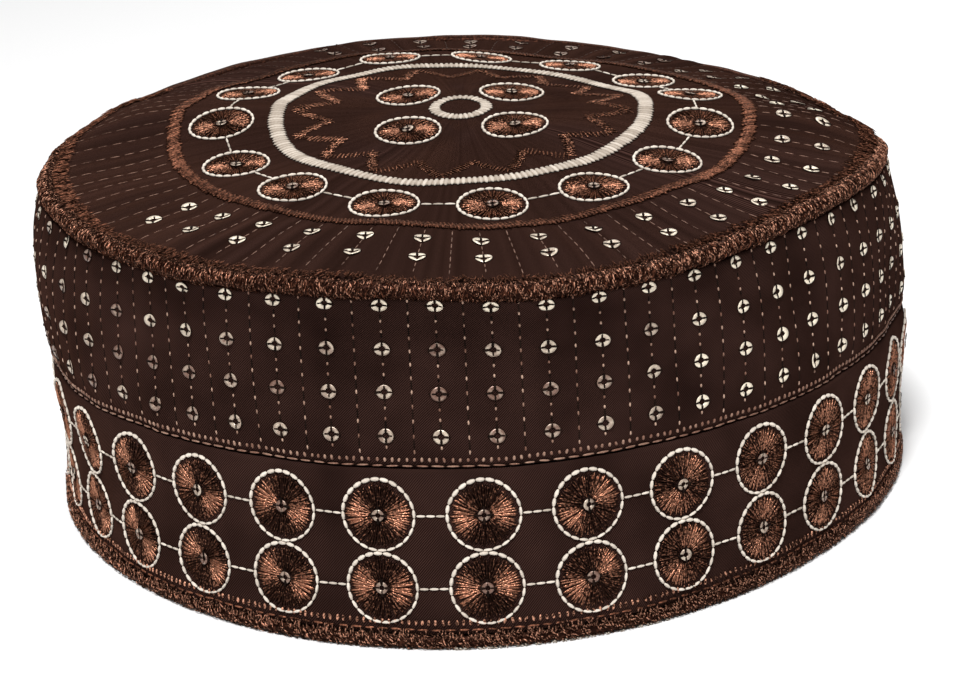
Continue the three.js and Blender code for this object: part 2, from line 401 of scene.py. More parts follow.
def make_camera():
    raised = math.radians(CAMERA["elevation"])
    tipped = math.radians(CAMERA["roll"])
    back = Vector((0, -math.cos(raised), math.sin(raised)))
    up = Vector((0, math.sin(raised), math.cos(raised)))
    right = Vector((1, 0, 0))
    picture_right = math.cos(tipped) * right - math.sin(tipped) * up
    picture_up = math.sin(tipped) * right + math.cos(tipped) * up
    data = bpy.data.cameras.new("camera")
    data.sensor_width = SENSOR_WIDTH
    data.lens = CAMERA["focal_pixels"] / PICTURE_WIDTH * SENSOR_WIDTH
    data.clip_start = 0.01
    camera = bpy.data.objects.new("camera", data)
    bpy.context.scene.collection.objects.link(camera)
    aim = Vector(CAMERA["aim"]) * MM - Vector((MIDDLE[0], MIDDLE[1], 0))
    matrix = Matrix((picture_right, picture_up, back)).transposed().to_4x4()
    matrix.translation = aim + back * CAMERA["away"] * MM
    camera.matrix_world = matrix
    bpy.context.scene.camera = camera
    return camera


print("camera at", [round(c, 3) for c in make_camera().location])

# %% [markdown]
# ## Materials
# Satin is a twill of shiny yarns, so it gets fine slanting ribs and a soft sheen, and painted shade
# in the furrows between the ribs. Cream cotton thread is dull and pale. The brown thread is rayon,
# which glints like copper where it lies across the light, partly from the lamps and partly from glint
# painted into its shade, and is nearly black elsewhere. Sequins are thin champagne-coloured discs. A
# picture of cloth would show its own pixels close up, so all of these are made from patterns in nodes.


# %% Helpers for materials
def new_material(name, colour, roughness):
    material = bpy.data.materials.new(name)
    material.use_nodes = True
    shader = material.node_tree.nodes["Principled BSDF"]
    shader.inputs["Base Color"].default_value = (*colour, 1)
    shader.inputs["Roughness"].default_value = roughness
    return material, material.node_tree.nodes, material.node_tree.links, shader


def add_node(nodes, kind, **values):
    """New node with its settings and the values of its inputs."""
    node = nodes.new(kind)
    for name, value in values.items():
        if hasattr(node, name):
            setattr(node, name, value)
        else:
            node.inputs[name.replace("_", " ").title()].default_value = value
    return node


def set_shader(material, **values):
    """Sets inputs on the material's own shader."""
    inputs = material.node_tree.nodes["Principled BSDF"].inputs
    for name, value in values.items():
        inputs[name.replace("_", " ").title().replace("Ior", "IOR")].default_value = value


def add_bump(nodes, links, shader, height, strength, distance):
    bump = add_node(nodes, "ShaderNodeBump", strength=strength, distance=distance)
    links.new(height, bump.inputs["Height"])
    links.new(bump.outputs["Normal"], shader.inputs["Normal"])


def mix_colours(nodes, links, share, first, second):
    """Colour between two, by a share that comes from another node."""
    mix = add_node(nodes, "ShaderNodeMix", data_type="RGBA")
    links.new(share, mix.inputs["Factor"])
    mix.inputs["A"].default_value = (*first, 1)
    mix.inputs["B"].default_value = (*second, 1)
    return mix.outputs["Result"]


# %% Satin twill
TWILL_PITCH = 0.37 * MM
TWILL_SLANT = math.radians(40)
# The furrow colour is painted shade between the twill's ribs; the noise patches are random tone.
SATIN_FURROW_PAINTED_SHADE = (0.0045, 0.0020, 0.0016)
SATIN_RIB = (0.094, 0.0455, 0.0365)
# At a scale of 1, a wave texture's bands lie this far apart.
WAVE_SCALE = 2 * math.pi / 20


def satin_material():
    material, nodes, links, shader = new_material("satin twill", (0.03, 0.017, 0.015), 0.45)
    set_shader(
        material, specular_ior_level=0.0, sheen_weight=0.035, sheen_roughness=0.4,
        sheen_tint=(1, 0.42, 0.25, 1),
    )
    place = nodes.new("ShaderNodeUVMap")
    slant = add_node(nodes, "ShaderNodeMapping", rotation=(0, 0, TWILL_SLANT))
    links.new(place.outputs["UV"], slant.inputs["Vector"])
    ribs = add_node(
        nodes, "ShaderNodeTexWave", bands_direction="X", wave_profile="SIN",
        scale=WAVE_SCALE / TWILL_PITCH, distortion=1.2, detail=1,
    )
    links.new(slant.outputs["Vector"], ribs.inputs["Vector"])
    patches = add_node(nodes, "ShaderNodeTexNoise", scale=60)
    links.new(place.outputs["UV"], patches.inputs["Vector"])
    blend = add_node(nodes, "ShaderNodeMath", operation="MULTIPLY")
    links.new(ribs.outputs["Fac"], blend.inputs[0])
    links.new(patches.outputs["Fac"], blend.inputs[1])
    colour = mix_colours(nodes, links, blend.outputs["Value"], SATIN_FURROW_PAINTED_SHADE, SATIN_RIB)
    links.new(colour, shader.inputs["Base Color"])
    add_bump(nodes, links, shader, ribs.outputs["Fac"], 0.75, 0.12 * MM)
    return material


SATIN = satin_material()
print("twill ribs %.2f mm apart" % (TWILL_PITCH / MM))

# %% Threads and sequins
GRAIN_AND_GLINT_SPECKS = {"low": 0.38, "high": 0.65}


def thread_material(name, dark, light, roughness, metallic, ripple, broken=0.3, rough=0.15 * MM):
    """Thread with a shade of its own for each stitch, broken up a little along it."""
    material, nodes, links, shader = new_material(name, light, roughness)
    set_shader(material, metallic=metallic)
    # Tint is each stitch's shade: random tone, and painted light and shade where the stitches are laid with
    # it.
    shade = add_node(nodes, "ShaderNodeAttribute", attribute_name="tint")
    place = nodes.new("ShaderNodeTexCoord")
    # Noise along the thread: grain on dull thread, and painted glint specks where broken is large.
    grain_and_glints = add_node(nodes, "ShaderNodeTexNoise", scale=1 / ripple, detail=1)
    links.new(place.outputs["Object"], grain_and_glints.inputs["Vector"])
    spread = add_node(nodes, "ShaderNodeMapRange", from_min=GRAIN_AND_GLINT_SPECKS["low"], from_max=GRAIN_AND_GLINT_SPECKS["high"])
    links.new(grain_and_glints.outputs["Fac"], spread.inputs["Value"])
    less = add_node(nodes, "ShaderNodeMath", operation="SUBTRACT")
    less.inputs[1].default_value = broken / 2
    links.new(shade.outputs["Fac"], less.inputs[0])
    blend = add_node(nodes, "ShaderNodeMath", operation="MULTIPLY_ADD", use_clamp=True)
    blend.inputs[1].default_value = broken
    links.new(spread.outputs["Result"], blend.inputs[0])
    links.new(less.outputs["Value"], blend.inputs[2])
    colour = mix_colours(nodes, links, blend.outputs["Value"], dark, light)
    links.new(colour, shader.inputs["Base Color"])
    add_bump(nodes, links, shader, grain_and_glints.outputs["Fac"], 0.6, rough)
    return material


CREAM = thread_material(
    "cream thread", (0.34, 0.28, 0.225), (0.82, 0.73, 0.63),
    roughness=0.6, metallic=0, ripple=0.4 * MM, broken=0.15,
)
RAYON = thread_material(
    "brown rayon", (0.016, 0.006, 0.004), (0.54, 0.245, 0.15),
    roughness=0.3, metallic=0.85, ripple=0.42 * MM, broken=1.0, rough=0.4 * MM,
)
TRIM = thread_material(
    "overlock thread", (0.016, 0.006, 0.004), (0.17, 0.062, 0.035),
    roughness=0.42, metallic=0.4, ripple=0.5 * MM, broken=0.6,
)
TRIM_LIGHT = thread_material(
    "brown stitching", (0.020, 0.008, 0.005), (0.36, 0.145, 0.085),
    roughness=0.36, metallic=0.5, ripple=0.5 * MM, broken=0.6, rough=0.25 * MM,
)
GLINT_TRIM = thread_material(
    "glinting edge thread", (0.02, 0.008, 0.005), (0.88, 0.43, 0.28),
    roughness=0.33, metallic=0.5, ripple=0.36 * MM, broken=1.0,
)
DUSTY = thread_material(
    "dusty brown thread", (0.03, 0.014, 0.01), (0.26, 0.15, 0.11),
    roughness=0.42, metallic=0.2, ripple=0.4 * MM, broken=0.6,
)
LIGHT_COPPER = thread_material(
    "pale copper thread", (0.20, 0.10, 0.07), (0.60, 0.40, 0.30),
    roughness=0.42, metallic=0.2, ripple=0.4 * MM,
)
SEQUIN = thread_material(
    "champagne sequin", (0.20, 0.11, 0.08), (0.98, 0.86, 0.68),
    roughness=0.35, metallic=0.3, ripple=1.2 * MM,
)
# Dark thread that holds the sequins, and painted shade for the dark dashes between pale ones.
DARK_THREAD_AND_SHADE = thread_material(
    "dark thread", (0.006, 0.003, 0.002), (0.018, 0.009, 0.006),
    roughness=0.7, metallic=0, ripple=0.4 * MM,
)
for dull in (CREAM, DARK_THREAD_AND_SHADE, TRIM, TRIM_LIGHT, GLINT_TRIM, DUSTY, LIGHT_COPPER):
    set_shader(dull, specular_ior_level=0.05)
for copper in (RAYON, TRIM, TRIM_LIGHT, GLINT_TRIM):
    set_shader(copper, specular_tint=(1, 0.62, 0.5, 1))
print("materials", [m.name for m in bpy.data.materials])


# %% [markdown]
# ## Cloth
# The wall and the band are strips and the crown is a disc, as they were cut. Cloth simulation would
# slacken a cap that stands by its own stiffness, so the cloth is shaped by its measured form. A
# strip starts as a flat grid whose UV map keeps the cut, is wrapped round the cap, and is given its
# thickness by a Solidify modifier. The twill follows the UV map, so the ribs bend with the cloth.

# %% Helpers for modelling
def start_modelling():
    if bpy.context.object and bpy.context.object.mode != "OBJECT":
        bpy.ops.object.mode_set(mode="OBJECT")
    bpy.ops.object.select_all(action="DESELECT")


def named_piece(name, material=None):
    """Names the active object, keeps its place in its mesh and gives it its material."""
    piece = bpy.context.object
    piece.name = name
    piece.data.name = name
    bpy.ops.object.transform_apply(location=True, rotation=True, scale=True)
    if material:
        piece.data.materials.append(material)
    return piece


def corner_places(piece):
    places = np.zeros(len(piece.data.vertices) * 3)
    piece.data.vertices.foreach_get("co", places)
    return places.reshape(-1, 3)


def move_corners(piece, places):
    piece.data.vertices.foreach_set("co", np.ascontiguousarray(places, dtype=float).ravel())
    piece.data.update()


def scale_uv(piece, across, up):
    """Turns a UV map from shares of the piece into metres of cloth."""
    layer = piece.data.uv_layers.active.data
    values = np.zeros(len(layer) * 2)
    layer.foreach_get("uv", values)
    layer.foreach_set("uv", (values.reshape(-1, 2) * (across, up)).ravel())


def thicken(piece, thickness, offset=-1):
    """Gives a sheet its thickness by a Solidify modifier and applies it."""
    wall = piece.modifiers.new("thickness", "SOLIDIFY")
    wall.thickness = thickness
    wall.offset = offset
    wall.use_even_offset = True
    bpy.context.view_layer.objects.active = piece
    bpy.ops.object.modifier_apply(modifier=wall.name)
    piece.data.shade_smooth()


def triangles(piece):
    return sum(len(face.vertices) - 2 for face in piece.data.polygons)


# %% Wall and band
STRIP_COLUMNS = 495


def cloth_strip(name, low, high_at, rows, proud):
    """A strip of cloth wrapped round the cap between two heights along the cloth."""
    start_modelling()
    bpy.ops.mesh.primitive_grid_add(
        x_subdivisions=STRIP_COLUMNS, y_subdivisions=rows, size=1, calc_uvs=True,
    )
    piece = named_piece(name, SATIN)
    flat = corner_places(piece)
    share = flat[:, 0]
    up = flat[:, 1] + 0.5
    height = low + (high_at(share) - low) * up
    places = net_value(WALL_POINTS, share, height) + net_value(WALL_NORMALS, share, height) * proud
    move_corners(piece, places)
    scale_uv(piece, np.mean(GIRTH_LENGTHS), float(np.mean(height.max() - low)))
    bpy.ops.object.mode_set(mode="EDIT")
    bpy.ops.mesh.select_all(action="SELECT")
    bpy.ops.mesh.remove_doubles(threshold=0.05 * MM)
    bpy.ops.mesh.normals_make_consistent(inside=False)
    bpy.ops.object.mode_set(mode="OBJECT")
    thicken(piece, CLOTH)
    print(name, triangles(piece), "triangles")
    return piece


def wall_top(share):
    """Height along the cloth at which the edge binding takes over."""
    under_binding = 2.7 * MM
    heights = np.linspace(60, 80, 81) * MM
    edge = net_value(WALL_POINTS, share, np.full_like(share, WALL_HEIGHT))[:, 2]
    table = np.stack([net_value(WALL_POINTS, share, np.full_like(share, h))[:, 2] for h in heights])
    row = np.argmax(table > edge - under_binding, axis=0)
    return heights[np.maximum(row, 1)]


side_wall = cloth_strip("side_wall_cloth", SEAM_HEIGHT, wall_top, rows=36, proud=0)
lower_band = cloth_strip(
    "lower_band_cloth", BINDING_HEIGHT + GAP, lambda share: SEAM_HEIGHT - GAP, rows=30, proud=BAND_PROUD,
)

# %% Crown
CROWN_CORNERS = 330
CROWN_LOOPS = 52


def crown_reach(turn):
    """Distance from the rings' middle to the crown's sewn edge, at a turn about that middle."""
    inset = 2.9 * MM
    distance = plain_girth(turn, WALL_HEIGHT)
    for _ in range(6):
        x = RING_MIDDLE[0] + distance * np.sin(turn)
        y = RING_MIDDLE[1] - distance * np.cos(turn)
        distance = distance + plain_girth(np.arctan2(x, -y), WALL_HEIGHT) - inset - np.hypot(x, y)
    return distance


def make_crown():
    """The crown's disc, grown loop by loop from its middle and then raised to its form."""
    start_modelling()
    first = 1 / CROWN_LOOPS
    bpy.ops.mesh.primitive_circle_add(vertices=CROWN_CORNERS, radius=first, fill_type="TRIFAN")
    piece = named_piece("crown_cloth", SATIN)
    bpy.ops.object.mode_set(mode="EDIT")
    bpy.ops.mesh.select_mode(type="EDGE")
    bpy.ops.mesh.select_all(action="SELECT")
    bpy.ops.mesh.region_to_loop()
    for loop in range(1, CROWN_LOOPS):
        bpy.ops.mesh.extrude_edges_move()
        grow = (loop + 1) / loop
        bpy.ops.transform.resize(value=(grow, grow, 1), center_override=(0, 0, 0))
    bpy.ops.object.mode_set(mode="OBJECT")
    flat = corner_places(piece)
    turn = np.arctan2(flat[:, 0], -flat[:, 1])
    distance = np.hypot(flat[:, 0], flat[:, 1]) * crown_reach(turn)
    x = RING_MIDDLE[0] + distance * np.sin(turn)
    y = RING_MIDDLE[1] - distance * np.cos(turn)
    move_corners(piece, on_crown(x, y, 0 * x, 0 * x, 0 * x))
    layer = piece.data.uv_layers.new(name="cut")
    corners = np.zeros(len(piece.data.loops), int)
    piece.data.loops.foreach_get("vertex_index", corners)
    layer.data.foreach_set("uv", np.stack([x, y], -1)[corners].ravel())
    bpy.ops.object.mode_set(mode="EDIT")
    bpy.ops.mesh.select_all(action="SELECT")
    bpy.ops.mesh.normals_make_consistent(inside=False)
    bpy.ops.object.mode_set(mode="OBJECT")
    if piece.data.polygons[0].normal.z < 0:
        piece.data.flip_normals()
    thicken(piece, CLOTH)
    print("crown_cloth", triangles(piece), "triangles")
    return piece


crown = make_crown()

# %% [markdown]
# ## Laying stitches
# Embroidery is thousands of short threads over the cloth. A particle system would scatter them, but a
# machine lays them in order. So a stitch is modelled once, lying along X at the origin, and is then
# laid many times. Each copy is bent onto the cloth point by point, so a long stitch follows the
# curve under it. All the copies of one thread become one mesh, and each copy gets its own shade.

# %% Laying copies
SPOT_COLUMNS = ("a", "b", "angle", "long", "wide", "high", "lift")


def spots(a, b, angle, long, wide, high, lift=0.0):
    """Places for copies: two coordinates on the cloth, a turn, three sizes and a lift."""
    columns = np.broadcast_arrays(*[np.asarray(v, float) for v in (a, b, angle, long, wide, high, lift)])
    return np.stack([column.ravel() for column in columns], -1)


def lay(name, template, places, surface, material, seed, tilt=0.0, shade=None):
    """Joins copies of a template, one for each place, bent onto a surface of the cap."""
    chance = np.random.default_rng(seed)
    shape = corner_places(template)
    a, b, angle, long, wide, high, lift = [column[:, None] for column in places.T]
    x = shape[:, 0] * long
    y = shape[:, 1] * wide
    slopes = chance.normal(0, 1, (len(places), 2)) * tilt
    z = shape[:, 2] * high + lift + slopes[:, :1] * x + slopes[:, 1:] * y
    across = x * np.cos(angle) - y * np.sin(angle)
    up = x * np.sin(angle) + y * np.cos(angle)
    points = surface(a + 0 * x, b + 0 * x, across, up, z).reshape(-1, 3)
    if shade is None:
        shade = chance.uniform(0, 1, len(places))
    joined_mesh(name, template, points, np.repeat(shade, len(shape)), material)


def joined_mesh(name, template, points, shade, material):
    copies = len(points) // len(template.data.vertices)
    corners = np.array([i for face in template.data.polygons for i in face.vertices])
    sizes = np.tile([len(face.vertices) for face in template.data.polygons], copies)
    step = len(template.data.vertices) * np.arange(copies)[:, None]
    mesh = bpy.data.meshes.new(name)
    mesh.vertices.add(len(points))
    mesh.vertices.foreach_set("co", points.ravel())
    mesh.loops.add(len(corners) * copies)
    mesh.loops.foreach_set("vertex_index", (corners[None, :] + step).ravel())
    mesh.polygons.add(len(sizes))
    mesh.polygons.foreach_set("loop_start", np.concatenate([[0], np.cumsum(sizes)[:-1]]))
    mesh.update(calc_edges=True)
    mesh.shade_smooth()
    mesh.attributes.new("tint", "FLOAT", "POINT").data.foreach_set("value", shade)
    mesh.materials.append(material)
    piece = bpy.data.objects.new(name, mesh)
    bpy.context.scene.collection.objects.link(piece)
    print(name, copies, "copies,", triangles(piece), "triangles")


# %% Stitch
STITCH_FLATTENING = 0.4
STITCH_RISE = 0.1


def make_stitch(name, sides, loops):
    """A plump stitch one unit long, pointed at both ends and flatter underneath."""
    start_modelling()
    bpy.ops.mesh.primitive_uv_sphere_add(
        segments=sides, ring_count=loops, radius=0.5, rotation=(0, math.pi / 2, 0),
    )
    stitch = named_piece(name)
    places = corner_places(stitch)
    below = places[:, 2] < 0
    places[below, 2] *= STITCH_FLATTENING
    places[:, 2] += STITCH_RISE
    move_corners(stitch, places)
    return stitch


STITCH = make_stitch("stitch_pattern", 6, 4)
STRAND = make_stitch("strand_pattern", 4, 4)
LOOSE_STRAND = make_stitch("loose_strand_pattern", 3, 3)

# %% Sequin
SEQUIN_SIZE = {"radius": 1.5 * MM, "ring": 0.82 * MM, "cup": 0.05 * MM, "thickness": 0.1 * MM}


def make_sequin():
    """A thin disc with a round hole, slightly cupped."""
    start_modelling()
    bpy.ops.mesh.primitive_circle_add(vertices=16, radius=SEQUIN_SIZE["radius"], fill_type="NGON")
    sequin = named_piece("sequin_pattern")
    bpy.ops.object.mode_set(mode="EDIT")
    bpy.ops.mesh.select_all(action="SELECT")
    bpy.ops.mesh.inset(thickness=SEQUIN_SIZE["ring"])
    bpy.ops.mesh.delete(type="FACE")
    bpy.ops.object.mode_set(mode="OBJECT")
    places = corner_places(sequin)
    at_rim = np.hypot(places[:, 0], places[:, 1]) > 1 * MM
    places[:, 2] += SEQUIN_SIZE["cup"] * at_rim
    move_corners(sequin, places)
    thicken(sequin, SEQUIN_SIZE["thickness"], 1)
    sequin.data.shade_flat()
    return sequin


SEQUIN_DISC = make_sequin()
print("stitch", triangles(STITCH), "strand", triangles(STRAND), "sequin", triangles(SEQUIN_DISC))

# %% [markdown]
# ## Sequins and stitched lines of the wall
# Fifty-five columns run down the wall, each with four sequins held by four small stitches. A plain
# stitched line runs midway between each two columns. Thread shows only where it comes up through
# the cloth, so pale dashes take turns with dark ones, which are painted shade where the cloth is
# pressed in between.

# %% Sequins of the wall
HOLDING = {"reach": 1.15 * MM, "long": 1.5 * MM, "wide": 0.62 * MM, "high": 0.34 * MM, "lift": 0.16 * MM}
SEQUIN_TILT = 0.06
column_shares = (np.arange(COLUMNS) - FIRST_COLUMN) / COLUMNS
plain_shares = column_shares + 0.5 / COLUMNS


def sequin_threads(step, a, b):
    """Four dark stitches that hold a sequin, from its hole to just past its rim."""
    found = []
    for quarter in range(4):
        angle = quarter * math.pi / 2
        across = np.full_like(a, HOLDING["reach"] * math.cos(angle))
        up = np.full_like(a, HOLDING["reach"] * math.sin(angle))
        a2, b2 = step(a, b, across, up)
        found.append(spots(a2, b2, angle, *[HOLDING[size] for size in ("long", "wide", "high", "lift")]))
    return np.concatenate(found)


def sequin_painted_shades(share, height, seed):
    """Sequins low on the front and towards the left are the dullest."""
    chance = np.random.default_rng(seed)
    # Painted shade: sequins low on the front and towards the left are given a duller shade.
    low = fade(-height, -72 * MM, -58 * MM)
    in_front = 1 - fade(np.abs(share + 0.09), 0.13, 0.19)
    at_left = fade(-share, 0.1, 0.16)
    dull = np.maximum(low * in_front, 0.7 * at_left)
    return np.clip(0.95 - 0.75 * dull + chance.normal(0, 0.16, len(share)), 0, 1)


share, height = [grid.ravel() for grid in np.meshgrid(column_shares, SEQUIN_HEIGHTS)]
shades = sequin_painted_shades(np.mod(share + 0.5, 1) - 0.5, height, 3)
places = spots(share, height, 0, 1, 1, 1, 0.1 * MM)
lay("wall_sequins", SEQUIN_DISC, places, on_wall, SEQUIN, 3, SEQUIN_TILT, shades)
lay("wall_sequin_threads", STITCH, sequin_threads(wall_step, share, height), on_wall, DARK_THREAD_AND_SHADE, 4)

# %% Stitched lines of the wall
DASH_PITCH = 3.3 * MM
SHARES_BETWEEN = np.array([0.62, 0.38])
SHADE_DASH_HEIGHTS = np.array([41.9, 46.0, 49.9, 56.5, 60.1, 67.0, 71.5]) * MM


def dash_places(shares, heights, long, wide):
    share, height = [grid.ravel() for grid in np.meshgrid(shares, heights)]
    return spots(share, height, math.pi / 2, long, wide, wide * 0.8, 0.05 * MM)


two_between = [
    above * SHARES_BETWEEN + below * SHARES_BETWEEN[::-1]
    for above, below in zip(SEQUIN_HEIGHTS, SEQUIN_HEIGHTS[1:])
]
dots = np.concatenate([*two_between, [40.9 * MM, 78.2 * MM]])
dash_heights = np.arange(39.9 * MM, 78 * MM, DASH_PITCH)
pale_dashes = np.concatenate([
    dash_places(plain_shares, dash_heights, 0.95 * MM, 0.45 * MM),
    dash_places(column_shares, dots, 0.8 * MM, 0.5 * MM),
])
lay("wall_running_stitches", STRAND, pale_dashes, on_wall, LIGHT_COPPER, 5)
# Dark dashes are painted shade where the cloth is pressed in between the pale ones.
shade_dashes = np.concatenate([
    dash_places(plain_shares, dash_heights + DASH_PITCH / 2, 2.3 * MM, 0.34 * MM),
    dash_places(column_shares, SHADE_DASH_HEIGHTS, 1.6 * MM, 0.34 * MM),
])
lay("wall_painted_shade_dashes", STRAND, shade_dashes, on_wall, DARK_THREAD_AND_SHADE, 6)

# %% [markdown]
# ## Seam and rim rows
# A row of short upright bars and a running stitch close the seam between wall and band, and the same
# two rows are sewn again just above the rim. Even copies would look printed, so each bar is moved,
# turned and stretched a little by seeded chance.


# %% Seam and rim rows
def from_table(value, table):
    """Value read off a short table, evenly between its rows."""
    return np.interp(value, list(table), list(table.values()))


def painted_side_shade(share, right=0.4):
    """Brightness of brown thread round the cap, which is darker towards the right."""
    # Painted shade: the thread is given a darker shade towards the right of the cap.
    turn = 360 * (np.mod(np.asarray(share) + 0.5, 1) - 0.5)
    return from_table(turn, {-10: 1, 35: right})


def bar_row(name, height, pitch, seed, material, bright, long=1.05 * MM, wide=0.66 * MM):
    """Short upright bars side by side, all round."""
    count = round(np.interp(height, NET_HEIGHTS, GIRTH_LENGTHS) / pitch)
    chance = np.random.default_rng(seed)
    share = (np.arange(count) + chance.normal(0, 0.07, count)) / count
    angle = math.pi / 2 + chance.normal(0, 0.12, count)
    long = long * chance.uniform(0.85, 1.2, count)
    places = spots(share, height, angle, long, wide, 0.6 * MM, 0.1 * MM)
    # Random tone, darkened by painted shade towards the right.
    shade = chance.uniform(*bright, count) * painted_side_shade(share)
    lay(name, STITCH, places, on_wall, material, seed, 0, shade)


def running_row(name, height, long, pitch, seed, material, bright):
    """A line of long stitches, end to end, all round."""
    count = round(np.interp(height, NET_HEIGHTS, GIRTH_LENGTHS) / pitch)
    chance = np.random.default_rng(seed)
    share = np.arange(count) / count
    angle = chance.normal(0, 0.05, count)
    long = long * chance.uniform(0.85, 1.1, count)
    places = spots(share, height, angle, long, 0.46 * MM, 0.5 * MM, 0.15 * MM)
    # Random tone, darkened by painted shade towards the right.
    shade = chance.uniform(*bright, count) * painted_side_shade(share)
    lay(name, STITCH, places, on_wall, material, seed, 0, shade)


bar_row("seam_bars", 38.2 * MM, 1.45 * MM, 7, LIGHT_COPPER, bright=(0.0, 0.6))
running_row("seam_running_stitches", 36.75 * MM, 2.5 * MM, 2.9 * MM, 8, LIGHT_COPPER, bright=(0.0, 0.5))
bar_row("rim_bars", 5.3 * MM, 1.3 * MM, 9, GLINT_TRIM, bright=(0.2, 0.7), long=1.2 * MM)
running_row("rim_running_stitches", 3.9 * MM, 2.2 * MM, 2.6 * MM, 10, TRIM_LIGHT, bright=(0.2, 0.9))

# %% [markdown]
# ## Rosettes
# A rosette is a wheel of brown rayon spokes round a sequin, with a bean-stitched outline of cream
# thread. A printed disc would pass from afar, but strands of their own catch the light one by one,
# and a painted glint in their shade brightens those that lie across the light.
# Long and short spokes take turns, because the needle would pile the thread up in the middle if
# all of them reached it.


# %% Rosette
# Turn of a rosette round the cap, and the angle of its brightest strands, both in degrees; the
# brightness is a painted glint.
PAINTED_GLINT_ANGLES = {-60: -45, -35: -25, -18: -8, -5: 0, 5: 15, 28: 60, 60: 72}
# Turn of a rosette round the cap in degrees, and how strongly its painted glint shows.
PAINTED_GLINT_STRENGTH = {-5: 1, 30: 0.5, 60: 0.3}
OUTLINE = {
    "first": 0.06,
    "inset": 0.35 * MM,
    "long": 1.9 * MM,
    "high": 0.8 * MM,
    "wide": 0.72 * MM,
    "wider": 0.14 * MM,
    "widest at": 2.1,
}
# Where spokes start and end, in millimetres from the rosette's middle, and their section.
SPOKE = {"long start": 1.0, "short start": 2.7, "end": 6.6, "wide": 0.56 * MM, "high": 0.55 * MM}
SHORT_SPOKE_LIFT = 0.12 * MM
SPOKE_PAINTED_GLINT = {"without glint": 0.3, "darkened": 0.52, "brightened": 1.2}
ON_CLOTH = 0.1 * MM
MIDDLE_SEQUIN = {"size": 0.78, "lift": 0.36 * MM, "thread lift": 0.28 * MM}


def rosette_outline(step, a, b):
    turns = np.arange(ROSETTE["outline"]) * 2 * math.pi / ROSETTE["outline"] + OUTLINE["first"]
    radius = ROSETTE["radius"] - OUTLINE["inset"]
    wide = OUTLINE["wide"] + OUTLINE["wider"] * np.cos(turns - OUTLINE["widest at"])
    a2, b2 = step(a[:, None], b[:, None], radius * np.cos(turns), radius * np.sin(turns))
    return spots(a2, b2, turns + math.pi / 2, OUTLINE["long"], wide, OUTLINE["high"], ON_CLOTH)


def rosette_spokes(step, a, b, painted_glint_angle, painted_glint, sharp, chance):
    """Strands from the middle to the outline; each second one starts farther out."""
    count = ROSETTE["spokes"]
    each = (len(a), count)
    is_long = np.arange(count) % 2 == 1
    turns = np.arange(count) * 2 * math.pi / count + chance.normal(0, 0.018, each)
    painted_glint_angle, painted_glint = [np.broadcast_to(value, len(a))[:, None] for value in (painted_glint_angle, painted_glint)]
    # Painted glint: strands that lie along the glint angle are painted bright, the others painted dark.
    along = np.abs(np.cos(turns - painted_glint_angle)) ** sharp
    shade = SPOKE_PAINTED_GLINT["without glint"] - SPOKE_PAINTED_GLINT["darkened"] * painted_glint
    shade = shade + SPOKE_PAINTED_GLINT["brightened"] * painted_glint * along + chance.normal(0, 0.1, each)
    start = np.where(is_long, SPOKE["long start"], SPOKE["short start"]) + chance.uniform(-0.3, 0.6, each)
    end = SPOKE["end"] + chance.uniform(-0.7, 0.1, each)
    middle = (start + end) / 2 * MM
    lift = np.where(is_long, 0, SHORT_SPOKE_LIFT)
    a2, b2 = step(a[:, None], b[:, None], middle * np.cos(turns), middle * np.sin(turns))
    places = spots(a2, b2, turns, (end - start) * MM, SPOKE["wide"], SPOKE["high"], lift)
    return places, np.clip(shade, -0.3, 1.1).ravel()


def rosettes(name, step, surface, a, b, painted_glint_angle, painted_glint, sharp, seed):
    """Outline, spokes and middle sequin of rosettes at places on the cloth."""
    chance = np.random.default_rng(seed)
    size = MIDDLE_SEQUIN["size"]
    discs = spots(a, b, 0, size, size, 1, MIDDLE_SEQUIN["lift"])
    disc_shades = chance.uniform(0.0, 0.45, len(a))
    outline = rosette_outline(step, a, b)
    spokes, spoke_shades = rosette_spokes(step, a, b, painted_glint_angle, painted_glint, sharp, chance)
    outline_shades = chance.uniform(0.55, 1, len(outline))
    threads = sequin_threads(step, a, b)
    threads[:, SPOT_COLUMNS.index("lift")] += MIDDLE_SEQUIN["thread lift"]
    lay(name + "_outlines", STITCH, outline, surface, CREAM, seed, 0, outline_shades)
    lay(name + "_spokes", STRAND, spokes, surface, RAYON, seed + 1, 0, spoke_shades)
    lay(name + "_sequins", SEQUIN_DISC, discs, surface, SEQUIN, seed + 2, 0.08, disc_shades)
    lay(name + "_sequin_threads", STRAND, threads, surface, DARK_THREAD_AND_SHADE, seed + 3)


# %% Links between rosettes
LINK = {"stitches": 3, "wide": 0.52 * MM, "overlap": 1.02}


def link_stitches(name, step, surface, a, b, angle, gap, seed):
    """Cream running stitches that cross the gap from one rosette to the next."""
    count = LINK["stitches"]
    offsets = (np.arange(count) - (count - 1) / 2) * gap / count
    a, b, angle = [np.asarray(value, float)[:, None] + 0 * offsets for value in (a, b, angle)]
    a2, b2 = step(a, b, offsets * np.cos(angle), offsets * np.sin(angle))
    places = spots(a2, b2, angle, gap / count * LINK["overlap"], LINK["wide"], LINK["wide"], ON_CLOTH)
    lay(name, STITCH, places, surface, CREAM, seed)


# %% Rosettes of the band
rosette_shares = (np.arange(BAND_ROSETTES) - FIRST_ROSETTE) / BAND_ROSETTES
link_shares = rosette_shares + 0.5 / BAND_ROSETTES
rosette_turns = 360 * (np.mod(rosette_shares + 0.5, 1) - 0.5)
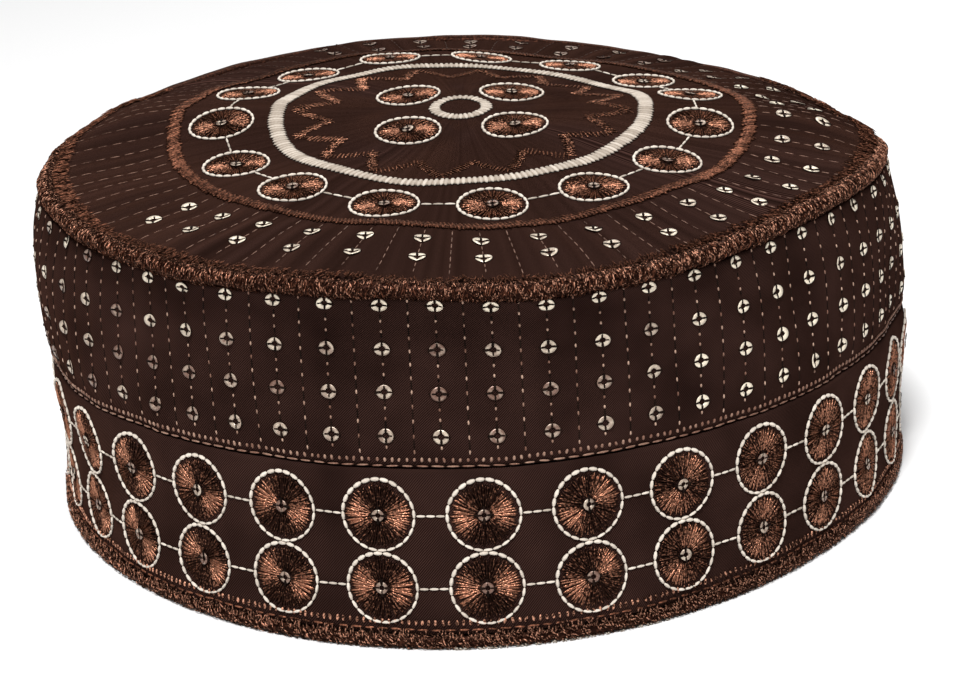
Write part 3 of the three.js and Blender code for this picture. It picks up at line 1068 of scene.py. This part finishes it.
# Angle and strength of each band rosette's painted glint, by its turn round the cap.
rosette_glint_angles = np.radians(from_table(rosette_turns, PAINTED_GLINT_ANGLES))
rosette_painted_glints = from_table(rosette_turns, PAINTED_GLINT_STRENGTH)
for row, name, seed in zip(ROSETTE_HEIGHTS, ("upper_rosette", "lower_rosette"), (10, 20)):
    heights = np.full(BAND_ROSETTES, row)
    rosettes(name, wall_step, on_wall, rosette_shares, heights, rosette_glint_angles, rosette_painted_glints, 3.5, seed)
    gap = np.interp(row, NET_HEIGHTS, GIRTH_LENGTHS) / BAND_ROSETTES - 2 * ROSETTE["radius"]
    link_stitches(name + "_links", wall_step, on_wall, link_shares, heights, 0 * heights, gap, seed + 5)

# %% Rosettes of the crown
FIRST_CROWN_ROSETTE = 0.251
INNER_TURNS = np.radians([-45, 45, 135, 225])
INNER_RADIUS = 16 * MM


def on_ring(turn, radius):
    """Places in plan at turns and distances about the middle of the crown's rings."""
    return RING_MIDDLE[0] + radius * np.sin(turn), RING_MIDDLE[1] - radius * np.cos(turn)


rosette_step = 2 * math.pi / CROWN_ROSETTES
crown_turns = (np.arange(CROWN_ROSETTES) + FIRST_CROWN_ROSETTE) * rosette_step
turns = np.append(crown_turns, INNER_TURNS)
radii = np.repeat([CROWN_ROSETTE_RADIUS, INNER_RADIUS], [CROWN_ROSETTES, len(INNER_TURNS)])
# On the crown the painted glint lies in a narrow band across the cap.
rosettes("crown_rosette", crown_step, on_crown, *on_ring(turns, radii), painted_glint_angle=0.1, painted_glint=0.75, sharp=7, seed=30)
link_turns = crown_turns + rosette_step / 2
x, y = on_ring(link_turns, CROWN_ROSETTE_RADIUS * math.cos(rosette_step / 2))
gap = 2 * CROWN_ROSETTE_RADIUS * math.sin(rosette_step / 2) - 2 * ROSETTE["radius"]
link_stitches("crown_rosette_links", crown_step, on_crown, x, y, link_turns, gap, 35)

# %% [markdown]
# ## Rings of the crown
# Satin stitch crosses each ring from side to side over a low ridge. The stitches stand beside each
# other like teeth, and their ends make the ring's saw edge. A torus with ribs in its material would
# have a smooth outline, so the ridge is a torus and the stitches are laid over it.


# %% Satin rings
RIDGE = {"half width": 0.36, "underside": -0.2, "height": 0.4, "lift": 0.12 * MM}


def ring_base(name, ring, material):
    """The low ridge under the satin stitches, as a full loop."""
    start_modelling()
    half_width = ring["width"] * RIDGE["half width"]
    bpy.ops.mesh.primitive_torus_add(
        major_segments=240, minor_segments=10, major_radius=ring["radius"], minor_radius=half_width,
    )
    piece = named_piece(name, material)
    places = corner_places(piece)
    x = places[:, 0] + RING_MIDDLE[0]
    y = places[:, 1] + RING_MIDDLE[1]
    rise = np.clip(places[:, 2] / half_width, RIDGE["underside"], 1) * ring["height"] * RIDGE["height"]
    move_corners(piece, on_crown(x, y, 0 * x, 0 * x, rise + RIDGE["lift"]))
    piece.data.shade_smooth()
    print(name, triangles(piece), "triangles")


def satin_ring(name, pitch, material, seed, slant=0.0, uneven=0.04, front=1.0, back=1.0):
    """Stitches side by side over a ridge; front and back say how bright they are there."""
    ring = RINGS[name]
    count = round(2 * math.pi * ring["radius"] / pitch)
    chance = np.random.default_rng(seed)
    turn = np.arange(count) * 2 * math.pi / count + chance.normal(0, 0.04, count) * pitch / ring["radius"]
    x, y = on_ring(turn, ring["radius"] + chance.normal(0, uneven * MM, count))
    angle = turn - math.pi / 2 + slant
    long = ring["width"] * chance.uniform(1.08, 1.22, count)
    places = spots(x, y, angle, long, pitch * 1.08, ring["height"] * 0.75, 0.2 * MM)
    ring_base(name + "_base", ring, material)
    from_front = np.degrees(np.abs(turn_between(turn, 0)))
    # Painted shade: front and back darken the stitches there.
    shade = chance.uniform(0.1, 0.6, count) * from_table(from_front, {20: front, 75: 1, 105: 1, 130: back})
    lay(name + "_stitches", STITCH, places, on_crown, material, seed, 0, shade)


satin_ring("centre_ring", 1.1 * MM, CREAM, 40)
satin_ring("white_ring", 1.12 * MM, CREAM, 41)
# The brown ring is painted darker in front and much darker at the back.
satin_ring("brown_ring", 0.8 * MM, TRIM_LIGHT, 42, slant=0.3, uneven=0.2, front=0.35, back=0.035)

# %% [markdown]
# ## Zigzag
# Inside the white ring a star of sixteen points is sewn in short brown strokes. One thick line bent
# to and fro would look like cord, so each arm is a comb of strokes that stand across it.

# %% Zigzag inside the white ring
ZIGZAG = {"points": 16, "first": math.radians(15), "inside": 28 * MM, "outside": 36.2 * MM, "strokes": 12}
# Turn on the crown in degrees, and how bright the strokes are there: painted light on the left,
# painted shade in front and to the right.
ZIGZAG_PAINTED_SHADES = {-170: 0.4, -140: 1, -50: 0.8, -20: 0.1, 60: 0.2, 120: 0.6, 170: 0.4}


def zigzag_places(seed):
    """Short brown strokes side by side along each arm, like the teeth of a comb."""
    chance = np.random.default_rng(seed)
    arm = np.arange(2 * ZIGZAG["points"])[:, None]
    along = (np.arange(ZIGZAG["strokes"]) + 0.5) / ZIGZAG["strokes"]
    turn = ZIGZAG["first"] + (arm + along) * math.pi / ZIGZAG["points"]
    outward = np.where(arm % 2, along, 1 - along)
    x, y = on_ring(turn, ZIGZAG["inside"] + (ZIGZAG["outside"] - ZIGZAG["inside"]) * outward)
    angle = turn - math.pi / 2 + np.where(arm % 2, -0.6, 0.6) + chance.normal(0, 0.12, turn.shape)
    long = chance.uniform(2.2, 3.6, turn.shape) * MM
    return spots(x, y, angle, long, 0.5 * MM, 0.42 * MM, 0.05 * MM)


places = zigzag_places(45)
shades = from_table(np.degrees(np.arctan2(places[:, 0], -places[:, 1])), ZIGZAG_PAINTED_SHADES)
shades = shades * np.random.default_rng(45).uniform(0.1, 0.9, len(places))
lay("zigzag_stitches", STITCH, places, on_crown, RAYON, 45, 0, shades)

# %% [markdown]
# ## Stitched lines and sequins of the crown
# Outside the brown ring the crown is quilted like the wall, in lines that run out to its edge. They
# are placed by turn and distance about the rings' middle, since a pattern made flat and wrapped on
# would bunch towards the middle. Lines with sequins and plain ones take turns.

# %% Stitched lines and sequins of the crown
PLAIN_DASH_RADII = np.arange(65, 85, 3.1) * MM
SEQUIN_DASH_RADII = np.array([65.2, 71.8, 74.3, 80.2, 82.8]) * MM
# Lines towards the left, between these turns in degrees, have no sequins.
BARE_LINES = (-150, -62)
line_turns = (np.arange(CROWN_LINES) - FIRST_LINE) * 2 * math.pi / CROWN_LINES
plain_turns = line_turns + math.pi / CROWN_LINES
from_front = np.degrees(turn_between(line_turns, 0))
bare = (from_front > BARE_LINES[0]) & (from_front < BARE_LINES[1])


def ring_places(turns, radii):
    turn, radius = [grid.ravel() for grid in np.meshgrid(turns, radii)]
    return *on_ring(turn, radius), turn


def crown_dashes(turns, radii, long, wide):
    x, y, turn = ring_places(turns, radii)
    return spots(x, y, turn - math.pi / 2, long, wide, wide * 0.8, 0.05 * MM)


x, y, turn = ring_places(line_turns[~bare], CROWN_SEQUIN_RADII)
places = spots(x, y, turn, 1.1, 1.1, 1, 0.1 * MM)
# Painted shade: crown sequins darken towards the back.
shades = np.random.default_rng(50).uniform(0.5, 1, len(x)) * from_table(y / MM, {25: 1, 55: 0.2})
lay("crown_sequins", SEQUIN_DISC, places, on_crown, SEQUIN, 50, SEQUIN_TILT, shades)
lay("crown_sequin_threads", STITCH, sequin_threads(crown_step, x, y), on_crown, DARK_THREAD_AND_SHADE, 51)
dashes = np.concatenate([
    crown_dashes(plain_turns, PLAIN_DASH_RADII, 2.4 * MM, 0.32 * MM),
    crown_dashes(line_turns[bare], PLAIN_DASH_RADII, 2.4 * MM, 0.32 * MM),
    crown_dashes(line_turns[~bare], SEQUIN_DASH_RADII, 1.9 * MM, 0.34 * MM),
])
# Painted shade: the crown's stitched lines darken towards the back.
shades = from_table(dashes[:, 1] / MM, {-10: 1, 45: 0.2})
shades = shades * np.random.default_rng(52).uniform(0.4, 1, len(dashes))
lay("crown_running_stitches", STRAND, dashes, on_crown, DUSTY, 52, 0, shades)

# %% [markdown]
# ## Rolled edges
# The crown's edge and the rim are rolls of cloth under a thick, shaggy overlock. Hair particles are
# the usual way to make a fringe, but they would be lost in the export. So each roll is a closed loop,
# and thousands of loose strands with few faces are laid over it, each at its own slant.

# %% Crown edge and rim rolls
EDGE_ROLL = {"half width": 1.75 * MM, "half height": 1.65 * MM, "inward": 0.85 * MM, "raised": -0.75 * MM}
RIM_ROLL = {"half width": 1.55 * MM, "half height": 1.38 * MM, "inward": 0.7 * MM, "raised": 1.38 * MM}
OFF_THE_FLOOR = 0.02 * MM
BELOW_STRANDS = 0.1 * MM


def on_roll(sewn_at, roll):
    """A surface function for a rolled edge: its places are a share of the girth and an angle."""
    def place(share, angle, across, up, lift):
        share = share + across / np.interp(sewn_at, NET_HEIGHTS, GIRTH_LENGTHS)
        angle = angle + up / roll["half width"]
        level = np.full_like(share, sewn_at)
        base = net_value(WALL_POINTS, share, level)
        out = net_value(WALL_NORMALS, share, level) * (1, 1, 0)
        out = out / np.linalg.norm(out, axis=-1, keepdims=True)
        reach = (roll["half width"] + lift) * np.cos(angle) - roll["inward"]
        point = base + out * reach[..., None]
        point[..., 2] = base[..., 2] + roll["raised"] + (roll["half height"] + lift) * np.sin(angle)
        point[..., 2] = np.maximum(point[..., 2], OFF_THE_FLOOR)
        return point
    return place


def roll_base(name, surface, material):
    """The rolled cloth edge under the overlock, as one closed loop."""
    start_modelling()
    bpy.ops.mesh.primitive_torus_add(
        major_segments=480, minor_segments=12, major_radius=1, minor_radius=0.2,
    )
    piece = named_piece(name, material)
    places = corner_places(piece)
    share = np.arctan2(places[:, 0], -places[:, 1]) / (2 * math.pi)
    angle = np.arctan2(places[:, 2], np.hypot(places[:, 0], places[:, 1]) - 1)
    move_corners(piece, surface(share, angle, 0 * share, 0 * share, 0 * share - BELOW_STRANDS))
    piece.data.shade_smooth()
    print(name, triangles(piece), "triangles")


on_edge = on_roll(WALL_HEIGHT, EDGE_ROLL)
on_rim = on_roll(0.0, RIM_ROLL)

# %% Overlock strands
# The back of the cap starts at this share of the girth from the front.
BACK_FROM = 0.34
LOOSE_WIDE = 0.33 * MM


def overlock(
    name, surface, material, count, seed, low, high, long, wide, spread,
    slant=0.0, bright=(0.0, 1.0), back_high=9.0, right=1.0,
):
    """Strands over a rolled edge from a low to a high angle, brightest about one angle.

    Bright holds the angle of a band of painted light on the roll and how far it reaches. At the back of
    the cap, the strands stay below an angle of their own. Right is the brightness of the painted shade
    at the right of the cap.
    """
    chance = np.random.default_rng(seed)
    share = (np.arange(count) + chance.uniform(-0.5, 0.5, count)) / count
    at_back = np.abs(np.mod(share + 0.5, 1) - 0.5) > BACK_FROM
    reach = np.where(at_back, min(high, back_high), high) - low
    angle = low + reach * chance.uniform(0, 1, count)
    turn = math.pi / 2 + slant + chance.normal(0, spread, count)
    long = long * chance.uniform(0.5, 1.3, count)
    lift = chance.uniform(-0.1, 0.3, count) * MM
    places = spots(share, angle, turn, long, wide, wide, lift)
    # Painted light: strands are brightest in a band round the roll and dark above and below it.
    shade = chance.uniform(0.1, 1.05, count) ** 2 * bell(angle - bright[0], bright[1])
    shade = shade * painted_side_shade(share, right)
    lay(name, LOOSE_STRAND, places, surface, material, seed, 0.05, np.clip(shade, 0, 1))


roll_base("crown_edge_roll", on_edge, TRIM)
overlock(
    "crown_edge_overlock", on_edge, GLINT_TRIM, count=8200, seed=60, low=-0.9, high=2.3,
    long=1.25 * MM, wide=0.3 * MM, spread=0.3, bright=(0.8, 0.75), back_high=0.2,
)
# Dark strands low on the roll and under it are partly painted shade beneath the roll.
overlock(
    "crown_edge_dark_strands", on_edge, TRIM, count=4400, seed=62, low=-1.8, high=1.4,
    long=1.6 * MM, wide=0.34 * MM, spread=0.35, bright=(0.4, 1.2), back_high=0.2,
)


def inner_strands(count, seed):
    """Strands that reach from the rolled edge onto the crown; they are left out at the back."""
    chance = np.random.default_rng(seed)
    turn = chance.uniform(-1, 1, count) * math.radians(125)
    distance = crown_reach(turn) + chance.uniform(-1.9, 1.1, count) * MM
    x, y = on_ring(turn, distance)
    angle = turn - math.pi / 2 + chance.normal(0, 0.35, count)
    long = chance.uniform(1.4, 3.0, count) * MM
    lift = chance.uniform(0.3, 0.85, count) * MM
    places = spots(x, y, angle, long, LOOSE_WIDE, LOOSE_WIDE, lift)
    # Painted shade: strands are darker in front and to the right than on the left.
    painted_turn_shade = from_table(np.degrees(turn), {-80: 1, -45: 0.4, 60: 0.4, 110: 0.7})
    return places, chance.uniform(0.1, 1, count) ** 1.5 * painted_turn_shade


places, shade = inner_strands(3400, 63)
lay("crown_edge_inner_strands", LOOSE_STRAND, places, on_crown, TRIM_LIGHT, 63, 0.05, shade)

# %% Strands of the rim
roll_base("rim_roll", on_rim, TRIM)
overlock(
    "rim_overlock", on_rim, GLINT_TRIM, count=7500, seed=61, low=-1.3, high=1.8,
    long=1.05 * MM, wide=LOOSE_WIDE, spread=0.35, slant=0.7, bright=(0.5, 0.9), right=0.3,
)


def rim_inner_strands(count, seed):
    """Upright strands that reach from the rim's roll onto the band."""
    chance = np.random.default_rng(seed)
    share = chance.uniform(-0.5, 0.5, count)
    height = chance.uniform(2.2, 3.6, count) * MM
    angle = math.pi / 2 + chance.normal(0, 0.4, count)
    long = chance.uniform(1.0, 1.9, count) * MM
    lift = chance.uniform(0.3, 0.8, count) * MM
    places = spots(share, height, angle, long, LOOSE_WIDE, LOOSE_WIDE, lift)
    # Random tone, darkened by painted shade towards the right.
    return places, chance.uniform(0, 0.8, count) ** 2 * painted_side_shade(share, 0.3)


def pale_loops(count, seed):
    """Small loops of pale thread at the foot of the front rim."""
    chance = np.random.default_rng(seed)
    share = chance.uniform(-0.012, 0.06, count)
    angle = chance.uniform(-0.85, -0.6, count)
    turn = math.pi / 2 + 0.6 + chance.normal(0, 0.2, count)
    places = spots(share, angle, turn, 1.0 * MM, 0.42 * MM, 0.42 * MM, 0.3 * MM)
    return places, chance.uniform(0, 0.6, count)


places, shade = rim_inner_strands(2200, 64)
lay("rim_inner_strands", LOOSE_STRAND, places, on_wall, GLINT_TRIM, 64, 0.05, shade)
places, shade = pale_loops(60, 65)
lay("rim_pale_loops", LOOSE_STRAND, places, on_rim, CREAM, 65, 0, shade)

# %% [markdown]
# ## Stage and light
# A plain pale floor and soft studio light show the cap. A sky picture would tint the thread, so the
# room is one pale colour. The main light is above and in front, so that thread across it glints.


# %% Stage and light
def make_floor():
    start_modelling()
    bpy.ops.mesh.primitive_plane_add(size=8)
    floor = named_piece("floor")
    material, *_ = new_material("pale floor", (0.93, 0.93, 0.93), 0.8)
    floor.data.materials.append(material)


def add_light(name, place, size, power, colour=(1, 1, 1)):
    data = bpy.data.lights.new(name, "AREA")
    data.size = size
    data.energy = power
    data.color = colour
    light = bpy.data.objects.new(name, data)
    light.location = place
    aim = Vector((0, 0, 0.05)) - light.location
    light.rotation_mode = "QUATERNION"
    light.rotation_quaternion = aim.to_track_quat("-Z", "Y")
    bpy.context.scene.collection.objects.link(light)


make_floor()
# Places and sizes in metres, power in watts.
add_light("key", (-0.12, -0.62, 1.15), 0.25, 18)
add_light("back", (0.25, 0.8, 0.9), 0.6, 5)
world = bpy.data.worlds.new("pale room")
world.use_nodes = True
world.node_tree.nodes["Background"].inputs["Color"].default_value = (1, 1, 1, 1)
world.node_tree.nodes["Background"].inputs["Strength"].default_value = 0.28
bpy.context.scene.world = world
bpy.context.scene.view_settings.view_transform = "Standard"
print("lights", [light.name for light in bpy.data.lights])

# %% [markdown]
# ## Riding on the cap
# The cap has no moving part, so every piece rides on its one body. The cloth, the rolls and the
# ridges stand for the solids that they were made after, and those solids are hidden. Thread and
# sequins are laid over them and replace nothing.

# %% Ride and replace
REPLACED = {
    "crown_cloth": ["crown"],
    "side_wall_cloth": ["side_wall"],
    "lower_band_cloth": ["lower_band"],
    "crown_edge_roll": ["crown_edge_binding"],
    "rim_roll": ["rim_binding"],
    "centre_ring_base": ["centre_ring"],
    "white_ring_base": ["white_ring"],
    "brown_ring_base": ["brown_ring"],
}
for pattern in (STITCH, STRAND, LOOSE_STRAND, SEQUIN_DISC):
    bpy.data.objects.remove(pattern)
for piece in [o for o in bpy.context.scene.objects if o.type == "MESH"]:
    if piece.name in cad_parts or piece.name == "floor":
        continue
    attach(piece, "root")
    if piece.name in REPLACED:
        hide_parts(*REPLACED[piece.name])

# %% [markdown]
# ## The cut of the cloth
# Cloth is cut flat and then sewn. The crown is a disc; the wall and the band are strips as long as
# the cap is round, and as wide as the wall and the band are high along the cloth. The disc's width is
# measured on the points that the crown was made from, so it can't drift apart from them.

CROWN_CUT = 2 * float(np.mean(crown_reach(np.linspace(0, 2 * math.pi, 73)[:-1])))
